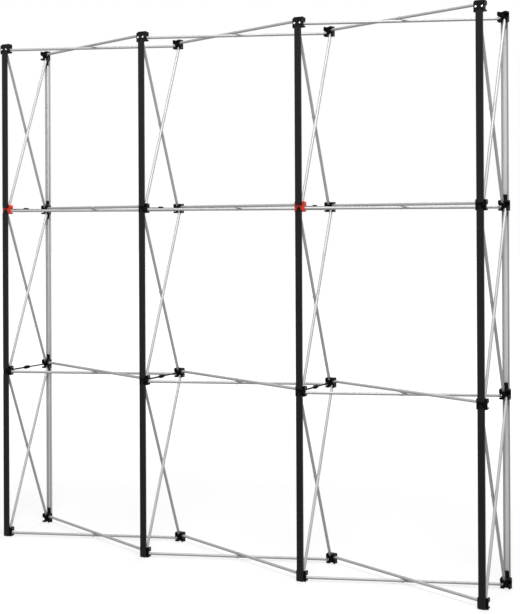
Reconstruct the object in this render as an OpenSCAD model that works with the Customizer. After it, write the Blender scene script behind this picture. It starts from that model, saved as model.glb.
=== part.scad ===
// Pop-up display backwall frame, three bays wide and three bays high.
// X runs to the right seen from the front, the front faces -Y, and Z is up.
// The origin is on the floor, at the centre of the whole frame's footprint.

/* [Frame] */
// Distance from hub centre to hub centre, across and up
pitch = 735; // [500:5:900]
// Distance between the pin planes of the front and the rear hubs
depth = 290; // [200:5:360]

/* [Tubes] */
// Outside diameter of a scissor tube
tube_d = 12; // [10:0.5:14.5]
// Wall of a scissor tube
tube_wall = 1; // [0.8:0.1:1.5]
// Air between the two tubes of a scissor where they cross
tube_gap = 1; // [0.6:0.1:2]

/* [Hubs] */
// Side of the square hub
hub_w = 42; // [36:1:52]
// Thickness of the hub's outer plate
plate_t = 6; // [5.5:0.5:8]
// Depth of the corner blocks behind the plate
block_d = 22; // [18:1:28]
// Half the side of the solid core between the four slots
core_half = 8; // [6:0.5:9]
// Air beside a tube in its slot
slot_clear = 1; // [0.5:0.1:1.5]
// Air between a tube end and the core
end_clear = 0.5; // [0.3:0.1:1]
// Chamfer that widens a slot's mouth on the side of the hub's centre line
near_flare = 5; // [2:0.5:6]
// Chamfer that widens a slot's mouth on its other side
far_flare = 2; // [1:0.5:3]
// Chamfer down the outer edge of each corner block
corner_cut = 4; // [2:0.5:5]
// Chamfer along the inner ends of the corner blocks
block_chamfer = 4; // [2:0.5:5]
// Floor of the well between the blocks, measured from the pin plane
well_floor = 6; // [4:0.5:8]
// Chamfer round the outer plate
plate_chamfer = 1.2; // [0.5:0.1:2]
// Diameter of the steel pin through a tube end
pin_d = 4; // [3:0.5:5]

/* [Channel bars] */
// Width of a channel bar
bar_w = 27; // [22:1:32]
// Depth of a channel bar from its face to its open side
bar_t = 10; // [9:0.5:14]
// Wall of a channel bar
bar_wall = 1.6; // [1.2:0.1:2]
// Width of the long opening in the back of a bar
bar_mouth = 18; // [14:0.5:20]
// Width of the magnetic strip let into the face of a front bar
strip_w = 22.6; // [18:0.2:24]
// Thickness of the magnetic strip
strip_t = 1; // [0.8:0.1:1.5]
// Air between a hung bar and its hubs
seat_gap = 0.3; // [0.2:0.1:0.6]

/* [Bar ends] */
// Width of the tongue that reaches up over a hub
tongue_w = 12.5; // [10:0.5:15]
// Top of the tongue below the hub's centre
tongue_drop = 2; // [0:0.5:4]
// Top of the top bars' longer tongue above the hub's centre
long_tongue = 12; // [6:0.5:13]
// Top of the aluminium channel below the hub's centre
shoulder_drop = 18; // [16:0.5:22]
// Height of the sloping shoulders between channel and tongue
shoulder_h = 6; // [4:0.5:8]
// Underside of a bar above the centre of the next hub down
foot_rise = 8; // [6:0.5:12]
// Underside of the bottom bars below the centre of the bottom hubs
foot_drop = 19; // [12:0.5:20]
// Thickness of the cap that closes the lower end of a bar
foot_cap = 3; // [2:0.5:4]
// Length of an end plug inside the channel
plug_l = 25; // [20:1:50]
// Diameter of the pegs that locate a bar on its hubs
peg_d = 5.8; // [4:0.2:7]
// Length of those pegs
peg_l = 4; // [3:0.5:4.5]

/* [Panel hangers] */
// Height of the hanger block on a top hub
hanger_h = 40; // [34:1:42]
// Centre of the hanger block below the hub's centre
hanger_drop = 5; // [4:0.5:8]
// Distance of each hanger pin from the middle of the block
hanger_pin_x = 12; // [11:0.5:14]
// Diameter of a hanger pin
hanger_pin_d = 6; // [4:0.5:7]
// How far a hanger pin stands out of the block
hanger_pin_out = 4; // [2:0.5:6]

/* [Locking arms] */
// Diameter of the arm
arm_d = 7; // [6:0.5:8]
// Length of the oval catch, were both its ends drawn out to a point
catch_l = 64; // [50:1:70]
// Largest diameter of the oval catch
catch_d = 16.5; // [14:0.5:18]
// How far the catch sits in front of the middle of the frame's depth
catch_forward = 9; // [0:1:20]
// Diameter of the ball on the fixed half of the arm
ball_d = 9.2; // [8:0.2:10]
// Diameter of the fixed half behind the ball
post_d = 6; // [5:0.5:7]
// Pivot of the arm behind the inner face of its hub
pivot_out = 6.5; // [6:0.5:9]
// Diameter of the pivot pin
pivot_d = 3; // [2.5:0.5:4]
// Air round the ball and the post inside the catch
catch_clear = 0.4; // [0.3:0.1:0.7]

/* [Hidden] */
$fn = 48;
bays = 3;                                    // bays across, and bays up
over = 0.5;                                  // how far a cut runs past a face
pin_clear = 0.1;                             // air round a pressed pin in its bore
swing_clear = 0.05;                          // air round the pivot pin of an arm
strip_side = 0.2;                            // air beside the magnetic strip
strip_bed = 0.1;                             // adhesive behind the magnetic strip
plug_clear = 0.3;                            // air round an end plug in its channel
hub_half = hub_w / 2;
hub_out = plate_t + tube_d / 2 + 2;          // pin plane to the hub's outer face
hub_in = plate_t + block_d - hub_out;        // pin plane to the inner ends of the blocks
tube_off = (tube_d + tube_gap) / 2;          // tube axis beside the hub's centre line
slot_w = tube_d + 2 * slot_clear;
slot_far = tube_off + slot_w / 2;            // far wall of a slot from the centre line
slot_near = slot_w / 2 - tube_off;           // how far a slot reaches past the centre line
finger = hub_half - slot_far;                // wall outside a slot
far_cut = min(far_flare, finger / 3);        // the three chamfers, no wider than that wall allows
outer_cut = min(corner_cut, finger - far_cut - over);
end_cut = min(block_chamfer, 0.6 * finger);
reach = core_half + end_clear + tube_d / 2;  // tube pin from the hub's centre
span = pitch - 2 * reach;                    // pin to pin, measured along the bay
tube_l = sqrt(span * span + depth * depth);  // pin to pin, along the tube
lean = atan(depth / span);                   // angle of a tube out of its plane
foot_z = hub_half;                           // centre of the bottom hubs above the floor
bar_back = hub_out + seat_gap;               // pin plane to the open side of a bar
mid_y = hanger_pin_out / 2;                  // centres the footprint on the origin
front_y = mid_y - depth / 2;
rear_y = mid_y + depth / 2;
mouth_neck = bar_mouth - 2 * plug_clear;     // wide part of a plug that shows in the mouth
slim_neck = mouth_neck * 0.75;               // slimmer neck of the upper plug
catch_y = depth / 2 - catch_forward;         // middle of the catch from the front pin plane
catch_wall = 1;                              // wall left at the catch's open end
pivot_y = hub_in + pivot_out;
plate_corner = 2;                            // corner radius of the hub's outer plate
pin_land = 2;                                // wall left beyond the blind end of a pin bore
boss_h = 1.5;                                // how far the boss in the well stands past the blocks
boss_d = 2 * core_half - 1;
post_flange_t = 3;
rivet_head_r = pin_d * 1.25;                 // radius of a rivet's washer and of its round head
rivet_head_h = pin_d / 2;
washer_air = 0.15;                           // air between a rivet's washer and each tube
head_air = 0.2;                              // air between a rivet's head and its tube
hanger_shank_d = hanger_pin_d - 1;           // pressed part of a hanger pin
knuckle_d = arm_d + 2;
knuckle_w = 8;
ear_t = 3;
ear_gap = 0.3;
arm_columns = [0, 1, 2];
arm_rows = [1, 2];
red_hubs = [[0, 1], [2, 1]];                 // column and row, counted from the top left
SEGMENTS = ["upper", "middle", "lower"];
FRONT_COLUMNS = [0, 1, 2, 3];
REAR_COLUMNS = [0, 3];
HUB_ROWS = ["top", "middle", "middle", "bottom"];

// ---------- names ----------
function bar_name(side, part, column, segment) =
    str(side, "_", part, "_", column + 1, "_", SEGMENTS[segment]);
function arm_name(column, row) = str("lock_arm_", column + 1, row == 1 ? "_upper" : "_lower");

// ---------- placing ----------
function column_x(column) = (column - bays / 2) * pitch;
function row_z(row) = foot_z + (bays - row) * pitch;
function is_red(column, row) = len([for (h = red_hubs) if (h == [column, row]) 1]) > 0;
function has_arm(column, row) =
    len([for (c = arm_columns, r = arm_rows) if (c == column && r == row) 1]) > 0;

// Angles, in the plane of the hub, of the slots that hold a tube: 0 right, 90 up
function used_slots(column, row) = concat(
    column < bays ? [0] : [], row > 0 ? [90] : [],
    column > 0 ? [180] : [], row < bays ? [270] : []);

// A front hub's place. A rear hub is the same moulding turned half round the Z axis
module at_front(column, row) translate([column_x(column), front_y, row_z(row)]) children();
module at_rear(column, row)
    translate([column_x(column), rear_y, row_z(row)]) rotate([0, 0, 180]) children();

// A flat shape in X and Z, given depth along Y
module along_y(y0, y1) translate([0, y1, 0]) rotate([90, 0, 0]) linear_extrude(y1 - y0) children();
module turned(angle) rotate([0, -angle, 0]) children();
module y_rod(d, y0, y1) translate([0, y1, 0]) rotate([90, 0, 0]) cylinder(d = d, h = y1 - y0);
module x_rod(d, w) rotate([0, 90, 0]) cylinder(d = d, h = w, center = true);

// Rectangle with true arcs at its corners, centred in X, from z0 to z1
module soft_rect(w, z0, z1, r) {
    translate([-w / 2 + r, z0]) square([w - 2 * r, z1 - z0]);
    translate([-w / 2, z0 + r]) square([w, z1 - z0 - 2 * r]);
    for (x = [-w / 2 + r, w / 2 - r], z = [z0 + r, z1 - r]) translate([x, z]) circle(r);
}

// ---------- hubs ----------
// One of the four blocks round the core, with its slots' flared mouths; the slots lie between them
module hub_quarter() polygon([
    [0, slot_near], [hub_half - near_flare, slot_near], [hub_half, slot_near + near_flare],
    [hub_half, hub_half - outer_cut], [hub_half - outer_cut, hub_half],
    [slot_far + far_cut, hub_half], [slot_far, hub_half - far_cut],
    [slot_far, core_half], [0, core_half]]);

module hub_pinwheel() {
    square(2 * core_half, center = true);
    for (angle = [0:90:270]) rotate(angle) hub_quarter();
}

// What stands round the well: the outer wall of each block, all four apart
module hub_walls() difference() {
    hub_pinwheel();
    square(2 * slot_far, center = true);
}

// Triangular strip that takes a corner edge off, running along Z at x = hub_half
module edge_cut(y, size) translate([hub_half, y, 0]) rotate([0, 0, 45])
    cube([size * sqrt(2), size * sqrt(2), hub_w + 2 * over], center = true);

// Bore of a tube pin, along Z through the right-hand slot; open at the hub's side
module pin_bore() translate([reach, 0, -hub_half - over])
    cylinder(d = pin_d + 2 * pin_clear, h = hub_half + core_half - pin_land + over);

// Ears on the inner face that carry a locking arm
module hub_ears() for (side = [-1, 1]) difference() {
    translate([side * (knuckle_w / 2 + ear_gap + ear_t / 2), 0, 0]) {
        translate([0, pivot_y, 0]) x_rod(knuckle_d, ear_t);
        translate([-ear_t / 2, well_floor - over, -knuckle_d / 2])
            cube([ear_t, pivot_y - well_floor + over, knuckle_d]);
    }
    translate([0, pivot_y, 0]) x_rod(pivot_d + 2 * pin_clear, knuckle_w + 4 * ear_t);
}

module hub(ears = false, hanger = false) {
    difference() {
        union() {
            along_y(-hub_out, plate_t - hub_out) soft_rect(hub_w, -hub_half, hub_half, plate_corner);
            along_y(plate_t - hub_out - over, well_floor) hub_pinwheel();
            along_y(well_floor - over, hub_in) hub_walls();
            y_rod(boss_d, well_floor - over, hub_in + (ears ? 0 : boss_h));
        }
        for (angle = [0:90:270]) turned(angle) {
            edge_cut(-hub_out, plate_chamfer);
            edge_cut(hub_in, end_cut);
            pin_bore();
        }
        for (z = peg_heights()) translate([0, 0, z]) y_rod(peg_d + 2 * pin_clear,
            -hub_out - over, -hub_out + peg_l - seat_gap + over);
        if (!ears) y_rod(post_d + 2 * pin_clear, well_floor, hub_in + boss_h + over);
        if (hanger) for (x = [-hanger_pin_x, hanger_pin_x]) translate([x, 0, -hanger_drop])
            y_rod(hanger_shank_d + 2 * pin_clear, -hub_out - over, -hub_out + peg_l);
    }
    if (ears) hub_ears();
}

// Heights of the two peg sockets in a hub: under the tongue, and above the foot of a bar
function peg_heights() = [-tongue_drop - tongue_w / 2, foot_rise + foot_cap + peg_d / 2];

module front_hubs(kind) color([0.07, 0.07, 0.07])
    for (c = FRONT_COLUMNS, r = [0:bays])
        if (HUB_ROWS[r] == kind && !is_red(c, r))
            at_front(c, r) hub(ears = has_arm(c, r), hanger = r == 0);

module red_hubs() color([0.8, 0.14, 0.08])
    for (h = red_hubs) at_front(h[0], h[1]) hub(ears = true);

module rear_hubs(kind) color([0.07, 0.07, 0.07])
    for (c = FRONT_COLUMNS, r = [0:bays]) if (HUB_ROWS[r] == kind) at_rear(c, r) hub();

// ---------- scissor tubes ----------
// Tube from the origin along +X with its pins along Z and its ends rounded about them
module tube() difference() {
    intersection() {
        translate([-tube_d, 0, 0]) rotate([0, 90, 0]) cylinder(d = tube_d, h = tube_l + 2 * tube_d);
        union() {
            translate([0, -tube_d, -tube_d]) cube([tube_l, 2 * tube_d, 2 * tube_d]);
            for (x = [0, tube_l]) translate([x, 0, -tube_d]) cylinder(d = tube_d, h = 2 * tube_d);
        }
    }
    translate([-tube_d, 0, 0]) rotate([0, 90, 0])
        cylinder(d = tube_d - 2 * tube_wall, h = tube_l + 2 * tube_d);
    for (x = [0, tube_l / 2, tube_l]) translate([x, 0, -tube_d])
        cylinder(d = pin_d + 4 * pin_clear, h = 2 * tube_d);
}

// Tubes of the rows, seen in plan: "low" runs back to the right, "high" runs forward
module row_tubes(high) color([0.78, 0.79, 0.8])
    for (c = [0:bays - 1], r = [0:bays])
        translate([column_x(c) + reach, high ? rear_y : front_y,
                   row_z(r) + (high ? tube_off : -tube_off)])
            rotate([0, 0, high ? -lean : lean]) tube();

// Tubes of the columns: "left" runs down and back, "right" runs down and forward
module column_tubes(right) color([0.72, 0.73, 0.75])
    for (c = [0:bays], r = [0:bays - 1])
        translate([column_x(c) + (right ? tube_off : -tube_off), right ? rear_y : front_y,
                   row_z(r) - reach])
            rotate([right ? -lean : lean, 0, 0]) rotate([0, 90, 0]) tube();

// Steel pin along Z through the right-hand slot of a hub at the origin
module tube_pin() translate([reach, 0, -hub_half + over])
    cylinder(d = pin_d, h = hub_half + core_half - pin_land - 2 * over);

module tube_pins() color([0.6, 0.6, 0.62])
    for (c = FRONT_COLUMNS, r = [0:bays]) {
        at_front(c, r) for (angle = used_slots(c, r)) turned(angle) tube_pin();
        // turned half round, a rear hub holds its right-hand tube in its own left slot
        at_rear(c, r) for (angle = used_slots(bays - c, r)) turned(angle) tube_pin();
    }

// Rivet along Z with a washer between the two tubes, as one turned piece
module cross_rivet() {
    head_z = tube_off + tube_d / 2 + head_air;
    rotate_extrude() {
        translate([0, -head_z - rivet_head_h / 2]) square([pin_d / 2, 2 * head_z + rivet_head_h]);
        translate([0, washer_air - tube_gap / 2])
            square([rivet_head_r, tube_gap - 2 * washer_air]);
        for (side = [-1, 1]) intersection() {
            translate([0, side > 0 ? head_z : -head_z - pin_d]) square([rivet_head_r, pin_d]);
            translate([0, side * (head_z + rivet_head_h - rivet_head_r)]) circle(rivet_head_r);
        }
    }
}

module cross_rivets() color([0.8, 0.8, 0.82]) {
    for (c = [0:bays - 1], r = [0:bays])
        translate([column_x(c) + pitch / 2, mid_y, row_z(r)]) cross_rivet();
    for (c = [0:bays], r = [0:bays - 1])
        translate([column_x(c), mid_y, row_z(r) - pitch / 2]) rotate([0, 90, 0]) cross_rivet();
}

// ---------- channel bars ----------
// Cross-section in X and Y: face at y = 0, open side at y = bar_t
module bar_section() difference() {
    soft_rect(bar_w, 0, bar_t, 1);
    translate([-bar_w / 2 + bar_wall, strip_t + bar_wall])
        square([bar_w - 2 * bar_wall, bar_t - strip_t - 2 * bar_wall]);
    translate([-bar_mouth / 2, bar_t / 2]) square([bar_mouth, bar_t]);
    translate([-strip_w / 2 - strip_side, -over])
        square([strip_w + 2 * strip_side, over + strip_t + strip_bed]);
}

// Places a bar's own frame: face at y = 0, z = 0 at the centre of the hub that it hangs on
module on_front(column, segment)
    translate([column_x(column), front_y - bar_back - bar_t, row_z(segment)]) children();
module on_rear(column, segment)
    translate([column_x(column), rear_y + bar_back + bar_t, row_z(segment)])
        rotate([0, 0, 180]) children();

function is_bottom(segment) = segment == bays - 1;
function bar_foot(segment) = -pitch + (is_bottom(segment) ? -foot_drop : foot_rise);
function bar_low(segment) = bar_foot(segment) + foot_cap;

module bar_channel(segment) translate([0, 0, bar_low(segment)])
    linear_extrude(-shoulder_drop - bar_low(segment)) bar_section();

module bar_strip(segment) translate([-strip_w / 2, 0, bar_low(segment)])
    cube([strip_w, strip_t, -shoulder_drop - bar_low(segment)]);

module front_bar(column, segment) color([0.16, 0.16, 0.16]) on_front(column, segment) {
    bar_channel(segment);
    bar_strip(segment);
}

module rear_bar(column, segment) color([0.75, 0.76, 0.78]) on_rear(column, segment)
    bar_channel(segment);

// Plug that fills the channel from z0 to z1, with a neck that shows in its mouth
module plug(z0, z1, neck) {
    cavity_w = bar_w - 2 * bar_wall;
    cavity_y = strip_t + bar_wall;
    translate([-cavity_w / 2 + plug_clear, cavity_y + plug_clear, z0])
        cube([cavity_w - 2 * plug_clear, bar_t - cavity_y - bar_wall - 2 * plug_clear, z1 - z0]);
    translate([-neck / 2, cavity_y + plug_clear, z0])
        cube([neck, bar_t - cavity_y - plug_clear, z1 - z0]);
}

// Outline of the upper end: shoulders that slope in to a tongue with a round top
module tongue_outline(top, grow = 0) {
    half = tongue_w / 2;
    polygon([
        [-bar_w / 2 - grow, -shoulder_drop], [bar_w / 2 + grow, -shoulder_drop],
        [half + grow, shoulder_h - shoulder_drop + grow], [half + grow, top - half],
        [-half - grow, top - half], [-half - grow, shoulder_h - shoulder_drop + grow]]);
    translate([0, top - half]) circle(half + grow);
}

module peg(z) translate([0, 0, z]) y_rod(peg_d, bar_t - over, bar_t + peg_l);

module upper_end(long) {
    along_y(0, bar_t) tongue_outline(long ? long_tongue : -tongue_drop);
    plug(-shoulder_drop - plug_l, -shoulder_drop + over, slim_neck);
    peg(peg_heights()[0]);
}

module lower_end(segment) {
    foot = bar_foot(segment);
    along_y(0, bar_t) difference() {
        soft_rect(bar_w, foot, foot + 2 * foot_cap, foot_cap - over);
        translate([-bar_w / 2 - over, foot + foot_cap]) square([bar_w + 2 * over, 2 * foot_cap]);
    }
    plug(foot + foot_cap - over, -pitch + hub_half + plug_l - foot_cap, mouth_neck);
    peg(-pitch + peg_heights()[1]);
}

module front_ends(column, segment) color([0.1, 0.1, 0.1]) on_front(column, segment) {
    upper_end(long = segment == 0);
    lower_end(segment);
}

module rear_ends(column, segment) color([0.1, 0.1, 0.1]) on_rear(column, segment) {
    upper_end(long = false);
    lower_end(segment);
}

// ---------- panel hangers ----------
// Block in front of a top hub, cut out round the tongue and shoulders of the bar below it
module hanger_block() {
    low = -hanger_drop - hanger_h / 2;
    difference() {
        along_y(-hub_out - seat_gap - bar_t, -hub_out) difference() {
            soft_rect(hub_w, low, low + hanger_h, 2);
            tongue_outline(long_tongue, grow = 2 * seat_gap);
            translate([-bar_w / 2 - 2 * seat_gap, low - over])
                square([bar_w + 4 * seat_gap, -shoulder_drop - low + over]);
        }
        for (x = [-hanger_pin_x, hanger_pin_x]) translate([x, 0, -hanger_drop])
            y_rod(hanger_shank_d + 2 * pin_clear, -bar_back - bar_t - over, 0);
    }
}

module hanger_blocks() color([0.05, 0.05, 0.05])
    for (c = FRONT_COLUMNS) at_front(c, 0) hanger_block();

// Stud with a domed end; its slimmer shank is pressed through the block into the hub
module hanger_pin() {
    face = -bar_back - bar_t;
    dome = hanger_pin_d / 6;
    y_rod(hanger_pin_d, face - hanger_pin_out + dome, face);
    y_rod(hanger_shank_d, face - over, -hub_out + peg_l - over);
    intersection() {
        translate([0, face - hanger_pin_out + hanger_pin_d, 0]) sphere(hanger_pin_d);
        y_rod(hanger_pin_d, face - hanger_pin_out - over, face - hanger_pin_out + dome);
    }
}

module hanger_pins() color([0.85, 0.85, 0.86])
    for (c = FRONT_COLUMNS, x = [-hanger_pin_x, hanger_pin_x])
        at_front(c, 0) translate([x, 0, -hanger_drop]) hanger_pin();

// ---------- locking arms ----------
// Fixed half: a post from the rear hub to the ball inside the catch
module lock_post() {
    ball_y = depth - catch_y;
    y_rod(post_d, well_floor + over, ball_y);
    y_rod(boss_d, hub_in + boss_h, hub_in + boss_h + post_flange_t);
    translate([0, ball_y, 0]) sphere(d = ball_d);
}

module lock_posts() color([0.07, 0.07, 0.07])
    for (c = arm_columns, r = arm_rows) at_rear(c, r) lock_post();

module lock_pins() color([0.6, 0.6, 0.62])
    for (c = arm_columns, r = arm_rows) at_front(c, r)
        translate([0, pivot_y, 0]) x_rod(pivot_d, knuckle_w + 2 * (ear_gap + ear_t));

// Oval catch turned about the arm's own line; its rear end is cut square where its wall grows thin
module catch_body() {
    bulge_r = catch_l * catch_l / (4 * catch_d) + catch_d / 4;
    waist = catch_d / 2 - (post_d / 2 + catch_clear + catch_wall);
    tail = sqrt(2 * waist * bulge_r - waist * waist);
    translate([0, catch_y, 0]) rotate([90, 0, 0]) rotate_extrude() intersection() {
        translate([0, -tail]) square([catch_d, tail + catch_l / 2 - 2]);
        translate([catch_d / 2 - bulge_r, 0]) circle(bulge_r, $fn = 4 * $fn);
    }
}

// Moving half: knuckle, arm and catch, open below so that it drops over the ball
module lock_arm() difference() {
    union() {
        translate([0, pivot_y, 0]) x_rod(knuckle_d, knuckle_w);
        y_rod(arm_d, pivot_y, catch_y - catch_l / 4);
        catch_body();
    }
    translate([0, pivot_y, 0]) x_rod(pivot_d + 2 * swing_clear, knuckle_w + 2);
    catch_room(ball_d, catch_y - ball_d / 2 - 2 * catch_clear, catch_y + ball_d / 2 + catch_clear);
    catch_room(post_d, catch_y, catch_y + catch_l);
}

// Round-topped room for a rod of diameter d, open downwards
module catch_room(d, y0, y1) {
    room = d + 2 * catch_clear;
    y_rod(room, y0, y1);
    translate([-room / 2, y0, -catch_d]) cube([room, y1 - y0, catch_d]);
}

module lock_arm_at(column, row) color([0.07, 0.07, 0.07]) at_front(column, row) lock_arm();

// ---------- what is drawn ----------
front_hubs("top");  // front_top_hubs
front_hubs("middle");  // front_middle_hubs
front_hubs("bottom");  // front_bottom_hubs
red_hubs();
rear_hubs("top");  // rear_top_hubs
rear_hubs("middle");  // rear_middle_hubs
rear_hubs("bottom");  // rear_bottom_hubs
row_tubes(high = false);  // row_tubes_low
row_tubes(high = true);  // row_tubes_high
column_tubes(right = false);  // column_tubes_left
column_tubes(right = true);  // column_tubes_right
tube_pins();
cross_rivets();
hanger_blocks();
hanger_pins();
lock_posts();
lock_pins();
for (c = FRONT_COLUMNS, s = [0:bays - 1]) {
    front_bar(c, s);
    front_ends(c, s);
}
for (c = REAR_COLUMNS, s = [0:bays - 1]) {
    rear_bar(c, s);
    rear_ends(c, s);
}
for (c = arm_columns, r = arm_rows)
    lock_arm_at(c, r);
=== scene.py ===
"""Looks, camera and light for a pop-up display backwall frame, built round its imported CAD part."""

from __future__ import annotations

import logging
import math
from dataclasses import dataclass, field
from enum import Enum
from typing import Callable, Iterable, Iterator, Sequence

import bmesh
import bpy
from mathutils import Matrix, Vector

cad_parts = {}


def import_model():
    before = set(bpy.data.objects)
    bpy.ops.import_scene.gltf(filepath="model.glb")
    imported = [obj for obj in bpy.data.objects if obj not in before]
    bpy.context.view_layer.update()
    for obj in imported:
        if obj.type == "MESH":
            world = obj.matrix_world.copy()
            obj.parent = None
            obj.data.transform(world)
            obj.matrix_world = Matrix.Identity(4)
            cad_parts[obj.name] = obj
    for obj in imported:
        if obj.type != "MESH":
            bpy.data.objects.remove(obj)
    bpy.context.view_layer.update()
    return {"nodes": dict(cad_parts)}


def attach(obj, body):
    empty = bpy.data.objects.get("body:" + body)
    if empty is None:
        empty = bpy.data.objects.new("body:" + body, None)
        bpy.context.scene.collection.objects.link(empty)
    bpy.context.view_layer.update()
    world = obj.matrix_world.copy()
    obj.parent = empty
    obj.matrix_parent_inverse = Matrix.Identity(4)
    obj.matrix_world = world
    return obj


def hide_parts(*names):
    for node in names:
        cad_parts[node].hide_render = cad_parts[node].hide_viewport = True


LOG = logging.getLogger("backwall")
MM = 0.001
Colour = tuple[float, float, float]
Triple = tuple[float, float, float]
Material = bpy.types.Material
Object = bpy.types.Object
Node = bpy.types.Node
NodeTree = bpy.types.NodeTree
Socket = bpy.types.NodeSocket

WHITE = (1.0, 1.0, 1.0, 1.0)
EVEN = (1.0, 1.0, 1.0)
UPRIGHT = (0.0, math.pi / 2, 0.0)
QUARTERS = (0, 90, 180, 270)


# ---------------------------------------------------------------- the frame's layout
@dataclass(frozen=True)
class Layout:
    """Where hubs, bars and arms stand, in metres, as in the part's source."""

    pitch: float = 0.735
    depth: float = 0.290
    hub_half: float = 0.021
    hub_out: float = 0.014
    hub_in: float = 0.014
    pin_reach: float = 0.0145
    mid_y: float = 0.002
    bar_back: float = 0.0143
    bar_t: float = 0.010
    pivot_out: float = 0.0065
    bays: int = 3

    @property
    def front_y(self) -> float:
        """Pin plane of the front hubs."""
        return self.mid_y - self.depth / 2

    @property
    def rear_y(self) -> float:
        """Pin plane of the rear hubs."""
        return self.mid_y + self.depth / 2

    @property
    def face_y(self) -> float:
        """Face of the front bars."""
        return self.front_y - self.bar_back - self.bar_t

    @property
    def lean(self) -> float:
        """Angle of a tube out of its plane, in radians."""
        return math.atan2(self.depth, self.pitch - 2 * self.pin_reach)

    def column_x(self, column: int) -> float:
        """X of a column of hubs, counted from the left."""
        return (column - self.bays / 2) * self.pitch

    def row_z(self, row: int) -> float:
        """Z of a row of hubs, counted from the top."""
        return self.hub_half + (self.bays - row) * self.pitch

    def hub(self, side: int, column: int, row: int, x: float, y: float, z: float) -> Vector:
        """A point of one hub's own frame, placed in the whole frame.

        Args:
            side: 1 for a front hub, -1 for a rear one, which stands turned half round.
            column: The hub's column, counted from the left.
            row: The hub's row, counted from the top.
            x: Across the hub.
            y: Inwards from the pin plane.
            z: Up.

        Returns:
            The point in metres.
        """
        plane = self.front_y if side > 0 else self.rear_y
        return Vector((self.column_x(column) + side * x, plane + side * y, self.row_z(row) + z))

    def hubs(self) -> Iterator[tuple[int, int, int]]:
        """Walks over the hubs.

        Returns:
            Side, column and row of every hub in turn.
        """
        for side in (1, -1):
            for column in range(self.bays + 1):
                for row in range(self.bays + 1):
                    yield side, column, row

    def used_slots(self, column: int, row: int) -> list[int]:
        """Angles of the slots that hold a tube: 0 right, 90 up, 180 left, 270 down.

        Args:
            column: The hub's column, counted from the left as its own face is seen.
            row: The hub's row, counted from the top.

        Returns:
            The angles in degrees, in the plane of the hub.
        """
        kept = (column < self.bays, row > 0, column > 0, row < self.bays)
        return [angle for angle, there in zip(QUARTERS, kept) if there]


def turned(angle: float, along: float, across: float) -> tuple[float, float]:
    """A point of a hub's right quarter, turned about the hub's middle.

    Args:
        angle: The turn in degrees: 0 right, 90 up, 180 left, 270 down.
        along: How far out it lies.
        across: How far to the left of that direction.

    Returns:
        Its X and Z in the hub's own frame.
    """
    c, s = math.cos(math.radians(angle)), math.sin(math.radians(angle))
    return along * c - across * s, along * s + across * c


LAYOUT = Layout()


# ---------------------------------------------------------------- shader building
class Wiring:
    """A node tree with short calls for adding and linking its nodes."""

    def __init__(self, tree: NodeTree) -> None:
        """Empties a tree and takes it over.

        Args:
            tree: The tree.
        """
        self.tree = tree
        self.tree.nodes.clear()

    def add(self, kind: str, **settings: object) -> Node:
        """Adds a node.

        Args:
            kind: Blender's identifier of the node type.
            **settings: Its properties, and its inputs as put() takes them.

        Returns:
            The new node.
        """
        node = self.tree.nodes.new(kind)
        for key, value in settings.items():
            if hasattr(node, key):
                setattr(node, key, value)
            else:
                self.put(node, **{key: value})
        return node

    def put(self, node: Node, **inputs: object) -> None:
        """Sets or wires a node's inputs.

        Args:
            node: The node.
            **inputs: Inputs by name, with _ for a space. A plain value is set on the input's own
                socket, and another node's output is wired to it.
        """
        for key, value in inputs.items():
            socket = node.inputs[key.replace("_", " ")]
            if isinstance(value, Socket):
                self.wire(value, socket)
            else:
                socket.default_value = value

    def wire(self, source: Socket, target: Socket) -> None:
        """Links one socket to another."""
        self.tree.links.new(source, target)

    def reckon(self, operation: str, first: Socket, second: Socket | float) -> Socket:
        """One sum.

        Args:
            operation: Blender's name of the sum.
            first: The value it starts from.
            second: Another value, or a plain number.

        Returns:
            The result's socket.
        """
        node = self.add("ShaderNodeMath", operation=operation)
        self.wire(first, node.inputs[0])
        if isinstance(second, Socket):
            self.wire(second, node.inputs[1])
        else:
            node.inputs[1].default_value = second
        return node.outputs[0]


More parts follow.
